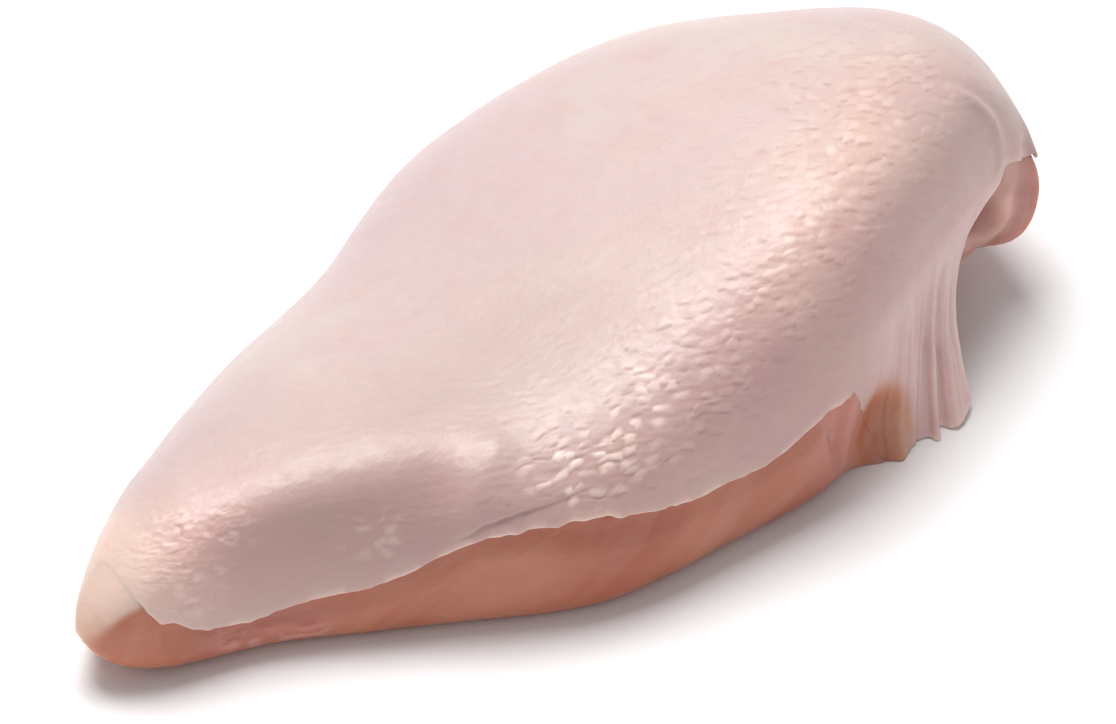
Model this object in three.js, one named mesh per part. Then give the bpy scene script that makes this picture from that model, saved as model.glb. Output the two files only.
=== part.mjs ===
// Raw turkey breast half with its skin on, lying skin side up on its flat cut face.
// Millimetres. +X runs from the thin tip to the thick shoulder end, +Y to the far
// long side, +Z up. The flesh is one body and the skin is a thin layer over it.
// The skin stops short of the table on the near long side, so a strip of flesh
// shows, and hangs down as a pleated curtain at the near shoulder corner.
import * as THREE from 'three';

// ---------------------------------------------------------------- driving sizes
const LENGTH = 300;                 // tip to shoulder, before the ends are rounded
// cross-sections along the length (0 = tip, 1 = shoulder end), all in mm
const STATION    = [0,    0.12,  0.25,  0.40,  0.55,  0.70,  0.85,  1.0];
const NEAR_Y     = [-22,  -25,   -43.5, -65.5, -67.5, -65,   -47.5, -28];
const FAR_Y      = [6.5,  26.5,  47.5,  66,    89.5,  87,    58,    43];
const TOP_Z      = [32,   43.5,  50.5,  51.5,  67,    82.5,  82.5,  80.5];
const CREST_Y    = [1,    -5,    -11.5, -20.5, -24,   -19,   -14.5, -8];
const WIDEST_Z   = [10,   12,    14,    16,    18,    20,    20,    20];
const NEAR_SHAPE = 3.2;             // squareness of the steep near side
const FAR_SHAPE  = 2.27;            // squareness of the gently falling far side
const FOOT_SHAPE = 2.2;             // squareness of the rounding into the flat base
const NEAR_FOOT  = 8;               // depth of the near rounding into the base
const FAR_FOOT   = 14;              // depth of the far rounding into the base
// each end closes on one point
const TIP      = { span: 0.115, shape: 2.03, y: -6.25, z: 16.7 };
const SHOULDER = { span: 0.193, shape: 2.35, y: -30,   z: 28 };
const END_SKEW = 0.39;              // shoulder end runs on further on the far side
const END_LEAN = 0.175;             // and overhangs its foot
const LEAN_FROM = 20;               // height at which the lean is nil
const LOBE = { from: 0.925, to: 0.99, z: 36, reach: 17, out: 4.2, near: 2, low: 22, sag: 3 };  // swollen, sagging end of the shoulder flesh

// skin
const SKIN_THICK = 2.2;             // middle of the skin
const SKIN_EDGE_THICK = 1.1;        // free edge of the skin
const SKIN_TAPER = 9;               // distance over which it thins to its edge
const GAP = 0.55;                  // clearance between the skin and the flesh
const SKIN_START = 0.015;           // first station of the skin, near the tip
const SKIN_FAR = 2.14;              // how far down the far side the skin runs
// height of the near skin edge above the table, by station
const EDGE_STATION = [0.015, 0.036, 0.05, 0.09, 0.126, 0.17, 0.22, 0.26, 0.30, 0.36, 0.42, 0.48, 0.58, 0.655, 0.69, 0.70, 0.712, 0.724, 0.736, 0.745, 0.752];
const EDGE_Z       = [24.2,  28.2,  22,   15.5, 14,    16.6, 19.8, 26,   32.5, 34,   31,   28,   27.8, 34.2,  33.2, 30,   22.5,  15,    9,     4.5,   0.5];
const EDGE_FLOOR = 0.4;             // the curtain stops this far above the table

// curtain of loose skin at the near shoulder corner
const CURTAIN_TOP = 54;             // height at which it leaves the flesh
const CURTAIN_A = 0.775;            // its first station
const CURTAIN_B = 0.917;            // its last station, the free right edge
const CURTAIN_FOOT = { x: 67, dx: 30, y: -62.2, bow: 2.4 };
const CURTAIN_WAIST = 6.5;          // how far the free edge is drawn in half way down
const BEHIND = { clear: 5.6, foot: 5, x: 0.43, y: -0.9 };  // how far the flesh draws back behind it, and along what line
// pleats: place along the curtain, width, height
const PLEATS = [[0.05, 0.10, 2.6], [0.36, 0.09, -2.2], [0.50, 0.08, 2.0], [0.60, 0.06, -2.4], [0.74, 0.09, 1.8], [0.92, 0.10, 1.4]];

// hollows: one in skin and flesh by the curtain's foot, one in the shoulder flesh
const POCKET = { x: 63, z: 13, rx: 8, rz: 10, depth: 4 };
const SOCKET = { x: 125, z: 28, rx: 9, rz: 9, depth: 8 };

// facets
const SKIN_STATIONS = 52, SKIN_RING = 27;
const FLESH_STATIONS = 46, FLESH_OVER = 27, FLESH_UNDER = 14;
const BEND_WEIGHT = 19;             // facets crowd where the surface bends, mm per radian

// ---------------------------------------------------------------- small helpers
const clamp = (v, a, b) => Math.min(b, Math.max(a, v));
const mix = (a, b, t) => a + (b - a) * t;
const smooth = (a, b, v) => { const t = clamp((v - a) / (b - a), 0, 1); return t * t * (3 - 2 * t); };
// smooth curve through the values v at the stations k
function curve(k, v, s) {
  const n = k.length; s = clamp(s, k[0], k[n - 1]);
  let i = 0; while (i < n - 2 && s > k[i + 1]) i++;
  const slope = (j) => j === 0 ? (v[1] - v[0]) / (k[1] - k[0])
    : j === n - 1 ? (v[n - 1] - v[n - 2]) / (k[n - 1] - k[n - 2])
    : (v[j + 1] - v[j - 1]) / (k[j + 1] - k[j - 1]);
  const h = k[i + 1] - k[i], t = (s - k[i]) / h, t2 = t * t, t3 = t2 * t;
  return (2 * t3 - 3 * t2 + 1) * v[i] + (t3 - 2 * t2 + t) * h * slope(i)
    + (3 * t2 - 2 * t3) * v[i + 1] + (t3 - t2) * h * slope(i + 1);
}
function linear(k, v, s) {
  const n = k.length; s = clamp(s, k[0], k[n - 1]);
  let i = 0; while (i < n - 2 && s > k[i + 1]) i++;
  return mix(v[i], v[i + 1], (s - k[i]) / (k[i + 1] - k[i]));
}
const quarter = (t, p) => {
  const a = clamp(t, 0, 1) * Math.PI / 2;
  return [Math.abs(Math.cos(a)) ** (2 / p), Math.abs(Math.sin(a)) ** (2 / p)];
};

// ---------------------------------------------------------------- outer form
// how much of the full section is left at station s, and the point it closes on
function ending(s) {
  const ta = clamp(1 - s / TIP.span, 0, 1), tb = clamp(1 - (1 - s) / SHOULDER.span, 0, 1);
  const ea = (1 - ta ** TIP.shape) ** (1 / TIP.shape), eb = (1 - tb ** SHOULDER.shape) ** (1 / SHOULDER.shape);
  const end = s > 0.5 ? SHOULDER : TIP;
  return [Math.min(ea, eb), end.y, end.z];
}
// Point of the outer form. ring: -0.5 near foot, 0 widest near, 1 crest,
// 2 widest far, 2.5 far foot, 3.5 near foot again across the flat base.
function form(s, ring) {
  const yn = curve(STATION, NEAR_Y, s), yf = curve(STATION, FAR_Y, s), zt = curve(STATION, TOP_Z, s);
  const yc = curve(STATION, CREST_Y, s), zw = curve(STATION, WIDEST_Z, s);
  let y, z;
  if (ring < 0) { const [c, q] = quarter((ring + 0.5) * 2, FOOT_SHAPE); y = yn + NEAR_FOOT * (1 - q); z = zw * (1 - c); }
  else if (ring <= 1) { const [c, q] = quarter(ring, NEAR_SHAPE); y = mix(yc, yn, c); z = mix(zw, zt, q); }
  else if (ring <= 2) { const [c, q] = quarter(ring - 1, FAR_SHAPE); y = mix(yc, yf, q); z = mix(zw, zt, c); }
  else if (ring <= 2.5) { const [c, q] = quarter((ring - 2) * 2, FOOT_SHAPE); y = yf - FAR_FOOT * (1 - c); z = zw * (1 - q); }
  else { y = mix(yf - FAR_FOOT, yn + NEAR_FOOT, ring - 2.5); z = 0; }
  const [e, ye, ze] = ending(s);
  y = ye + (y - ye) * e; z = ze + (z - ze) * e;
  const w = smooth(0.45, 1, s), swell = smooth(LOBE.from, LOBE.to, s) * Math.exp(-(((z - LOBE.z) / LOBE.reach) ** 2));
  const x = -LENGTH / 2 + LENGTH * s + w * (END_SKEW * y + END_LEAN * (z - LEAN_FROM));
  const sag = LOBE.sag * smooth(0.93, 0.99, s) * Math.exp(-(((z - LOBE.low) / 10) ** 2));
  return new THREE.Vector3(x + LOBE.out * swell, y - LOBE.near * swell, z - sag);
}
// ring position of height z on the near side
function ringAt(s, z) {
  const zt = curve(STATION, TOP_Z, s), zw = curve(STATION, WIDEST_Z, s), [e, , ze] = ending(s);
  const zz = ze + (z - ze) / Math.max(e, 1e-4);
  if (zz >= zw) return 2 / Math.PI * Math.asin(clamp((zz - zw) / (zt - zw), 0, 1) ** (NEAR_SHAPE / 2));
  return -0.5 + Math.acos(clamp(1 - zz / zw, 0, 1) ** (FOOT_SHAPE / 2)) / Math.PI;
}

// ---------------------------------------------------------------- curtain
const curtainAt = (s) => (s - CURTAIN_A) / (CURTAIN_B - CURTAIN_A);
function pleat(k, w) {
  let a = 0;
  for (const [c, width, height] of PLEATS) a += height * Math.exp(-(((k - c) / width) ** 2));
  return a * w ** 0.8 * smooth(-0.1, 0.12, k);
}
// draws the low near side out to the curtain's foot line; pull 0..1
function drape(s, ring, p, pull) {
  const w = clamp((CURTAIN_TOP - p.z) / CURTAIN_TOP, 0, 1);
  const h = pull * smooth(0.695, 0.765, s) * (1 - smooth(0.5, 0.7, ring)) * smooth(0, 0.3, w);
  if (h <= 0) return p;
  const top = form(s, ringAt(s, CURTAIN_TOP)), k = clamp(curtainAt(s), -0.6, 1.2), t = w ** 1.5;
  const waist = CURTAIN_WAIST * Math.sin(Math.PI * w) * clamp(k, 0, 1) ** 2;
  const x = mix(top.x, CURTAIN_FOOT.x + CURTAIN_FOOT.dx * k, t) - 0.8 * waist;
  const y = mix(top.y, CURTAIN_FOOT.y + CURTAIN_FOOT.bow * k * k, t) - pleat(k, w) + 0.6 * waist;
  return new THREE.Vector3(mix(p.x, x, h), mix(p.y, y, h), p.z);
}
// outward direction of any surface f(s, ring)
function outward(f, s, ring) {
  const ds = 0.002, dr = 0.01;
  const a = f(Math.min(s + ds, 1), ring).sub(f(Math.max(s - ds, 0), ring));
  const b = f(s, ring + dr).sub(f(s, ring - dr));
  const n = new THREE.Vector3().crossVectors(b, a).negate();
  return n.lengthSq() > 1e-12 ? n.normalize() : new THREE.Vector3(s > 0.5 ? 1 : -1, 0, 0);
}
const dimple = (p, d) => d.depth * Math.exp(-(((p.x - d.x) / d.rx) ** 2) - (((p.z - d.z) / d.rz) ** 2)) * (1 - smooth(-25, 0, p.y));
const pressed = (p, d) => p.setY(p.y + dimple(p, d));

// outer face of the skin, and the full form the flesh is taken from
const skinFace = (s, ring) => pressed(drape(s, ring, form(s, ring), 1), POCKET);
function fleshFace(s, ring) {
  const p = pressed(drape(s, ring, form(s, ring), 1 - smooth(0.785, 0.86, s)), POCKET);
  const back = (BEHIND.clear * (1 - smooth(50, 60, p.z)) + BEHIND.foot * (1 - smooth(8, 30, p.z)))
    * smooth(0.80, 0.89, s) * (1 - smooth(-15, 20, p.y)) * (1 - 0.7 * smooth(0.985, 1, s));
  return p.set(p.x - BEHIND.x * back, p.y - BEHIND.y * back, p.z);
}

// ---------------------------------------------------------------- where the skin ends
const edgeHeight = (s) => linear(EDGE_STATION, EDGE_Z, s);
const skinEnd = (ring) => CURTAIN_B + 0.030 * smooth(-0.02, 0.26, ring)
  + 0.042 * smooth(0.31, 0.41, ring) + 0.006 * smooth(0.5, 1, ring) - 0.010 * smooth(1.5, 2, ring);
const nearRing = (s) => ringAt(s, edgeHeight(s));
// lowest skin edge over a short way on, where the edge drops steeply
const lowestEdge = (s) => Math.min(...[0, 0.012, 0.024, 0.036].map((d) => edgeHeight(Math.min(s + d, CURTAIN_B))));

// how thick the skin is at a place: full inside, thin towards each free edge
function skinDepth(s, ring, p) {
  const along = LENGTH * 0.9, around = 65;
  let d = (s - SKIN_START) * along;
  for (const step of [0, 0.02, 0.04, 0.06, 0.08, 0.1]) {
    d = Math.min(d, Math.max((skinEnd(ring - step) - s) * along, 0) + step * around);
    if (ring < 1) d = Math.min(d, Math.max(p.z - edgeHeight(Math.min(s - 0.3 * step, CURTAIN_B)), 0) + 0.3 * step * along);
  }
  if (ring > 1.5) d = Math.min(d, (SKIN_FAR - ring) * 60);
  return mix(SKIN_EDGE_THICK, SKIN_THICK, smooth(0, SKIN_TAPER, d));
}
// n + 1 stations from 0 to 1, closer together where density(u) is higher
function spread(n, density) {
  const m = 400, sum = [0], out = [];
  for (let i = 1; i <= m; i++) sum.push(sum[i - 1] + density((i - 0.5) / m));
  let j = 0;
  for (let i = 0; i <= n; i++) {
    const want = sum[m] * i / n; while (j < m - 1 && sum[j + 1] < want) j++;
    out.push((j + clamp((want - sum[j]) / (sum[j + 1] - sum[j]), 0, 1)) / m);
  }
  return out;
}
const bump = (x, at, width) => Math.exp(-(((x - at) / width) ** 2));

// resamples the path f(ring) from ring a to ring b into n + 1 steps, even along
// the path and closer where it bends, and gives back the ring positions
function evenRings(f, a, b, n, dense = 220) {
  const at = [], len = [0]; let last = null, lastDir = null;
  for (let i = 0; i <= dense; i++) {
    const r = mix(a, b, i / dense), p = f(r); at.push(r);
    if (last) {
      const dir = p.clone().sub(last), d = dir.length(); dir.normalize();
      const bend = lastDir && d > 1e-6 ? Math.acos(clamp(dir.dot(lastDir), -1, 1)) : 0;
      len.push(len[i - 1] + d + Math.min(bend, 0.2) * BEND_WEIGHT);
      if (d > 1e-6) lastDir = dir;
    }
    last = p;
  }
  const out = []; let j = 0;
  for (let i = 0; i <= n; i++) {
    const want = len[dense] * i / n; while (j < dense - 1 && len[j + 1] < want) j++;
    out.push(mix(at[j], at[j + 1], clamp((want - len[j]) / Math.max(len[j + 1] - len[j], 1e-9), 0, 1)));
  }
  return out;
}

// closed body from a list of triangles over points
function body(points, faces) {
  const pos = new Float32Array(faces.length * 9); let o = 0;
  for (const f of faces) for (const i of f) { pos[o++] = points[i].x; pos[o++] = points[i].y; pos[o++] = points[i].z; }
  const g = new THREE.BufferGeometry();
  g.setAttribute('position', new THREE.BufferAttribute(pos, 3));
  g.computeVertexNormals();
  return g;
}
// splits a four-sided facet on its shorter diagonal
function facet(points, faces, a, b, c, d) {
  if (points[a].distanceToSquared(points[c]) <= points[b].distanceToSquared(points[d])) faces.push([a, b, c], [a, c, d]);
  else faces.push([a, b, d], [b, c, d]);
}

// ---------------------------------------------------------------- skin
function skinGeometry() {
  const NU = SKIN_STATIONS, NV = SKIN_RING, outer = [], inner = [];
  // stations: closer together at the tip and across the curtain
  const span = spread(NU, (u) => 1 + 1.6 * bump(u, 0, 0.05) + 1.3 * smooth(0.74, 0.82, u));
  for (const u of span) {
    const at = (ring) => mix(SKIN_START, skinEnd(ring), u);
    const near = nearRing(mix(SKIN_START, CURTAIN_B, u));
    const rings = evenRings((r) => skinFace(at(r), r), SKIN_FAR, near, NV);
    const ro = [], ri = [];
    for (const r of rings) {
      const s = at(r), p = skinFace(s, r), n = outward(skinFace, s, r);
      ro.push(p); ri.push(p.clone().addScaledVector(n, -skinDepth(s, r, p)));
    }
    outer.push(ro); inner.push(ri);
  }
  for (const set of [outer, inner]) for (const row of set) for (const p of row) p.z = Math.max(p.z, EDGE_FLOOR);
  const points = [], faces = [], N1 = NV + 1;
  for (const row of outer) points.push(...row);
  const off = points.length;
  for (const row of inner) points.push(...row);
  const O = (i, j) => i * N1 + j, I = (i, j) => off + i * N1 + j;
  for (let i = 0; i < NU; i++) for (let j = 0; j < NV; j++) {
    facet(points, faces, O(i, j), O(i, j + 1), O(i + 1, j + 1), O(i + 1, j));
    facet(points, faces, I(i, j), I(i + 1, j), I(i + 1, j + 1), I(i, j + 1));
  }
  for (let i = 0; i < NU; i++) {
    faces.push([O(i, 0), I(i + 1, 0), I(i, 0)], [O(i, 0), O(i + 1, 0), I(i + 1, 0)]);
    faces.push([O(i, NV), I(i, NV), I(i + 1, NV)], [O(i, NV), I(i + 1, NV), O(i + 1, NV)]);
  }
  for (let j = 0; j < NV; j++) {
    faces.push([O(0, j), I(0, j), I(0, j + 1)], [O(0, j), I(0, j + 1), O(0, j + 1)]);
    faces.push([O(NU, j), I(NU, j + 1), I(NU, j)], [O(NU, j), O(NU, j + 1), I(NU, j + 1)]);
  }
  return { points, faces };
}

// ---------------------------------------------------------------- flesh
function fleshGeometry() {
  const NS = FLESH_STATIONS, A = FLESH_OVER, B = FLESH_UNDER, N = A + B, points = [], faces = [];
  const along = spread(NS, (u) => 1 + 2.2 * bump(u, 0, 0.05) + 2.2 * bump(u, 1, 0.05) + 1.3 * bump(u, 0.81, 0.06) + 1.2 * bump(u, 0.71, 0.03));
  for (const u of along) {
    const s = mix(0.0006, 0.9994, u);
    const f = (r) => fleshFace(s, r > 3.5 ? r - 4 : r), near = nearRing(Math.min(s, CURTAIN_B));
    const over = evenRings(f, SKIN_FAR, Math.min(near, 0.98), A);
    const under = evenRings(f, Math.min(near, 0.98) + 4, SKIN_FAR, B).map((r) => r > 3.5 ? r - 4 : r).slice(1, -1);
    const rings = [...over, ...under];
    for (const r of rings) {
      const p = f(r), n = outward(fleshFace, s, r);
      // under the skin the flesh lies one skin thickness and the gap further in
      const edge = lowestEdge(s);
      const low = r <= 1 ? smooth(edge - 10, edge, p.z) : r <= SKIN_FAR ? 1 : 1 - smooth(SKIN_FAR, 2.45, r);
      // but past the skin's shoulder end it swells out to the full form
      const bare = (1 - smooth(0.27, 0.36, r)) * smooth(4, 8, (s - skinEnd(r)) * LENGTH);
      const depth = (skinDepth(s, r, p) + GAP + 0.6 * smooth(0.965, 0.985, s) * (1 - smooth(1, 1.3, r)))
        * low * (1 - bare) * smooth(SKIN_START - 0.013, SKIN_START, s) + dimple(p, SOCKET) + 0.2 * dimple(p, POCKET);
      p.addScaledVector(n, -depth);
      p.z = Math.max(p.z, 0);
      if (r >= 2.5) p.z = Math.max(form(s, r).z, 0);
      points.push(p);
    }
  }
  const per = A + 1 + B - 1, P = (i, j) => i * per + (j % per);
  for (let i = 0; i < NS; i++) for (let j = 0; j < per; j++) facet(points, faces, P(i, j), P(i, j + 1), P(i + 1, j + 1), P(i + 1, j));
  const cap = (i) => { const c = new THREE.Vector3(); for (let j = 0; j < per; j++) c.add(points[P(i, j)]); return c.multiplyScalar(1 / per); };
  points.push(cap(0)); const a = points.length - 1; points.push(cap(NS)); const b = points.length - 1;
  for (let j = 0; j < per; j++) { faces.push([a, P(0, j + 1), P(0, j)]); faces.push([b, P(NS, j), P(NS, j + 1)]); }
  return { points, faces };
}

// ---------------------------------------------------------------- the part
const skin = skinGeometry(), flesh = fleshGeometry();
// centre the whole on its footprint
const box = new THREE.Box3().setFromPoints([...skin.points, ...flesh.points]);
const shift = new THREE.Vector3(-(box.min.x + box.max.x) / 2, -(box.min.y + box.max.y) / 2, -box.min.z);
for (const p of [...skin.points, ...flesh.points]) p.add(shift);

const group = new THREE.Group(); group.name = 'turkey_breast';
const fleshMesh = new THREE.Mesh(body(flesh.points, flesh.faces), new THREE.MeshStandardMaterial({ color: 0xc08c78, roughness: 0.45 }));
fleshMesh.name = 'meat'; fleshMesh.material.name = 'raw_flesh';
const skinMesh = new THREE.Mesh(body(skin.points, skin.faces), new THREE.MeshStandardMaterial({ color: 0xdcc0b8, roughness: 0.5 }));
skinMesh.name = 'skin'; skinMesh.material.name = 'raw_skin';
group.add(fleshMesh, skinMesh);
export default group;
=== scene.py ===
# Raw turkey breast half with its skin on, lying skin side up on a pale table.
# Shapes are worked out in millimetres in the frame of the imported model, and go to
# Blender in metres. Two pieces: the flesh, and the skin that lies over it.
import math

import bpy
import numpy as np
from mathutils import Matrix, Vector


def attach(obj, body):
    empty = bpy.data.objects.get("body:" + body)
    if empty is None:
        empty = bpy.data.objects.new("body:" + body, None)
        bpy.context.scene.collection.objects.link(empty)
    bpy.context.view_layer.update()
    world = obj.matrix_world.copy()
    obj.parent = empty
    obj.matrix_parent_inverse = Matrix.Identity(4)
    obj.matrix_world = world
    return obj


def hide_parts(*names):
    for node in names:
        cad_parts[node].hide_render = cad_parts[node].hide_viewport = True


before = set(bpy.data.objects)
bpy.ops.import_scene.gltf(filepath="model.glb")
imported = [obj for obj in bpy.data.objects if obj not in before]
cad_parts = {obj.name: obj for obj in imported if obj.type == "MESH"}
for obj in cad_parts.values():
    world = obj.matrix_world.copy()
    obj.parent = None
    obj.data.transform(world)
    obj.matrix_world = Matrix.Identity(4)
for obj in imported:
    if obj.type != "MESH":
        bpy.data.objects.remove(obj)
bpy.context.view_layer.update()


# ------------------------------------------------------------------ camera
CAM_TARGET = (-6.86, -22.20, 35.0)          # mm
CAM_AZ, CAM_EL, CAM_DIST = -36.575, 39.693, 1200.0
CAM_LENS = 148.87

cam_data = bpy.data.cameras.new("camera")
cam_data.lens, cam_data.sensor_width, cam_data.sensor_fit = CAM_LENS, 36.0, "HORIZONTAL"
cam_data.clip_start, cam_data.clip_end = 0.05, 30.0
cam = bpy.data.objects.new("camera", cam_data)
bpy.context.scene.collection.objects.link(cam)
az, el = math.radians(CAM_AZ), math.radians(CAM_EL)
back = Vector((math.sin(az) * math.cos(el), -math.cos(az) * math.cos(el), math.sin(el)))
cam.location = (Vector(CAM_TARGET) + back * CAM_DIST) / 1000
cam.rotation_euler = back.to_track_quat("Z", "Y").to_euler()
bpy.context.scene.camera = cam

# ------------------------------------------------------------------ the form, mm
LENGTH = 300.0
STATION = [0, 0.12, 0.25, 0.40, 0.55, 0.70, 0.85, 1.0]
NEAR_Y = [-22, -25, -43.5, -65.5, -67.5, -65, -47.5, -28]
FAR_Y = [6.5, 26.5, 47.5, 66, 89.5, 87, 58, 43]
TOP_Z = [32, 43.5, 50.5, 51.5, 67, 82.5, 82.5, 80.5]
CREST_Y = [1, -5, -11.5, -20.5, -24, -19, -14.5, -8]
WIDEST_Z = [10, 12, 14, 16, 18, 20, 20, 20]
NEAR_SHAPE, FAR_SHAPE, FOOT_SHAPE = 3.2, 2.27, 2.2
NEAR_FOOT, FAR_FOOT = 8.0, 14.0
TIP = dict(span=0.115, shape=2.03, y=-6.25, z=16.7)
SHOULDER = dict(span=0.193, shape=2.35, y=-30.0, z=28.0)
END_SKEW, END_LEAN, LEAN_FROM = 0.39, 0.175, 20.0
LOBE = dict(start=0.925, to=0.99, z=36.0, reach=17.0, out=4.2, near=2.0, low=22.0, sag=3.0)
SKIN_THICK, SKIN_EDGE_THICK, SKIN_TAPER, GAP = 2.2, 1.1, 9.0, 0.55
SKIN_START, SKIN_FAR = 0.015, 2.14
EDGE_STATION = [0.015, 0.036, 0.05, 0.09, 0.126, 0.17, 0.22, 0.26, 0.30, 0.36, 0.42, 0.48, 0.58, 0.655,
                0.69, 0.70, 0.712, 0.724, 0.736, 0.745, 0.752]
EDGE_Z = [24.2, 28.2, 22, 15.5, 14, 16.6, 19.8, 26, 32.5, 34, 31, 28, 27.8, 34.2, 33.2, 30, 22.5, 15, 9, 4.5, 0.5]
EDGE_FLOOR = 0.4
CURTAIN_TOP, CURTAIN_A, CURTAIN_B = 54.0, 0.775, 0.917
FOOT_X, FOOT_DX, FOOT_Y, FOOT_BOW = 67.0, 30.0, -62.2, 2.4
CURTAIN_WAIST = 6.5
B_CLEAR, B_FOOT, B_X, B_Y = 5.6, 5.0, 0.43, -0.9
PLEATS = [[0.05, 0.10, 2.6], [0.36, 0.09, -2.2], [0.50, 0.08, 2.0], [0.60, 0.06, -2.4], [0.74, 0.09, 1.8], [0.92, 0.10, 1.4]]
POCKET = dict(x=63, z=13, rx=8, rz=10, depth=4)
SOCKET = dict(x=125, z=28, rx=9, rz=9, depth=8)
SHIFT = np.array([-2.0950, -11.8250, 0.0])   # puts the origin at the middle of the footprint


def clamp(v, a, b):
    return np.minimum(b, np.maximum(a, v))


def mix(a, b, t):
    return a + (b - a) * t


def smooth(a, b, v):
    t = clamp((v - a) / (b - a), 0.0, 1.0)
    return t * t * (3 - 2 * t)


def curve(k, v, s):
    k, v = np.asarray(k, float), np.asarray(v, float)
    m = np.empty_like(v)
    m[1:-1] = (v[2:] - v[:-2]) / (k[2:] - k[:-2])
    m[0], m[-1] = (v[1] - v[0]) / (k[1] - k[0]), (v[-1] - v[-2]) / (k[-1] - k[-2])
    s = clamp(np.asarray(s, float), k[0], k[-1])
    i = np.clip(np.searchsorted(k, s, side="right") - 1, 0, len(k) - 2)
    h = k[i + 1] - k[i]
    t = (s - k[i]) / h
    return ((2 * t**3 - 3 * t**2 + 1) * v[i] + (t**3 - 2 * t**2 + t) * h * m[i]
            + (3 * t**2 - 2 * t**3) * v[i + 1] + (t**3 - t**2) * h * m[i + 1])


def quarter(t, p):
    a = clamp(t, 0, 1) * math.pi / 2
    return np.abs(np.cos(a)) ** (2 / p), np.abs(np.sin(a)) ** (2 / p)


def ending(s):
    ta, tb = clamp(1 - s / TIP["span"], 0, 1), clamp(1 - (1 - s) / SHOULDER["span"], 0, 1)
    ea = np.maximum(1 - ta ** TIP["shape"], 0) ** (1 / TIP["shape"])
    eb = np.maximum(1 - tb ** SHOULDER["shape"], 0) ** (1 / SHOULDER["shape"])
    far = s > 0.5
    return np.minimum(ea, eb), np.where(far, SHOULDER["y"], TIP["y"]), np.where(far, SHOULDER["z"], TIP["z"])


# station s runs 0..1 from the tip; ring: -0.5 near foot, 0 widest near, 1 crest,
# 2 widest far, 2.5 far foot, 3.5 near foot again across the flat base
def form(s, ring):
    s, ring = np.broadcast_arrays(np.asarray(s, float), np.asarray(ring, float))
    yn, yf, zt, yc, zw = (curve(STATION, v, s) for v in (NEAR_Y, FAR_Y, TOP_Z, CREST_Y, WIDEST_Z))
    c, q = quarter((ring + 0.5) * 2, FOOT_SHAPE)
    ya, za = yn + NEAR_FOOT * (1 - q), zw * (1 - c)
    c, q = quarter(ring, NEAR_SHAPE)
    yb, zb = mix(yc, yn, c), mix(zw, zt, q)
    c, q = quarter(ring - 1, FAR_SHAPE)
    yd, zd = mix(yc, yf, q), mix(zw, zt, c)
    c, q = quarter((ring - 2) * 2, FOOT_SHAPE)
    ye, ze = yf - FAR_FOOT * (1 - c), zw * (1 - q)
    yg, zg = mix(yf - FAR_FOOT, yn + NEAR_FOOT, ring - 2.5), np.zeros_like(s)
    pick = [ring < 0, ring <= 1, ring <= 2, ring <= 2.5]
    y, z = np.select(pick, [ya, yb, yd, ye], yg), np.select(pick, [za, zb, zd, ze], zg)
    e, y0, z0 = ending(s)
    y, z = y0 + (y - y0) * e, z0 + (z - z0) * e
    w = smooth(0.45, 1, s)
    swell = smooth(LOBE["start"], LOBE["to"], s) * np.exp(-(((z - LOBE["z"]) / LOBE["reach"]) ** 2))
    x = -LENGTH / 2 + LENGTH * s + w * (END_SKEW * y + END_LEAN * (z - LEAN_FROM))
    sag = LOBE["sag"] * smooth(0.93, 0.99, s) * np.exp(-(((z - LOBE["low"]) / 10) ** 2))
    return np.stack([x + LOBE["out"] * swell, y - LOBE["near"] * swell, z - sag], -1)


def ring_at(s, z):
    zt, zw = curve(STATION, TOP_Z, s), curve(STATION, WIDEST_Z, s)
    e, _, z0 = ending(s)
    zz = z0 + (z - z0) / np.maximum(e, 1e-4)
    hi = 2 / math.pi * np.arcsin(clamp((zz - zw) / (zt - zw), 0, 1) ** (NEAR_SHAPE / 2))
    lo = -0.5 + np.arccos(clamp(1 - zz / zw, 0, 1) ** (FOOT_SHAPE / 2)) / math.pi
    return np.where(zz >= zw, hi, lo)


def curtain_at(s):
    return (s - CURTAIN_A) / (CURTAIN_B - CURTAIN_A)


def pleat(k, w):
    a = 0
    for c, width, height in PLEATS:
        a = a + height * np.exp(-(((k - c) / width) ** 2))
    return a * w**0.8 * smooth(-0.1, 0.12, k)


def drape(s, ring, p, pull):
    s, ring = np.broadcast_arrays(np.asarray(s, float), np.asarray(ring, float))
    w = clamp((CURTAIN_TOP - p[..., 2]) / CURTAIN_TOP, 0, 1)
    h = pull * smooth(0.695, 0.765, s) * (1 - smooth(0.5, 0.7, ring)) * smooth(0, 0.3, w)
    top = form(s, ring_at(s, CURTAIN_TOP))
    k, t = clamp(curtain_at(s), -0.6, 1.2), w**1.5
    waist = CURTAIN_WAIST * np.sin(math.pi * w) * clamp(k, 0, 1) ** 2
    x = mix(top[..., 0], FOOT_X + FOOT_DX * k, t) - 0.8 * waist
    y = mix(top[..., 1], FOOT_Y + FOOT_BOW * k * k, t) - pleat(k, w) + 0.6 * waist
    return np.stack([mix(p[..., 0], x, h), mix(p[..., 1], y, h), p[..., 2]], -1)


def dimple(p, d):
    return (d["depth"] * np.exp(-(((p[..., 0] - d["x"]) / d["rx"]) ** 2) - (((p[..., 2] - d["z"]) / d["rz"]) ** 2))
            * (1 - smooth(-25, 0, p[..., 1])))


def pressed(p, d):
    return np.stack([p[..., 0], p[..., 1] + dimple(p, d), p[..., 2]], -1)


def skin_face(s, ring):
    return pressed(drape(s, ring, form(s, ring), 1.0), POCKET)


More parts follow.
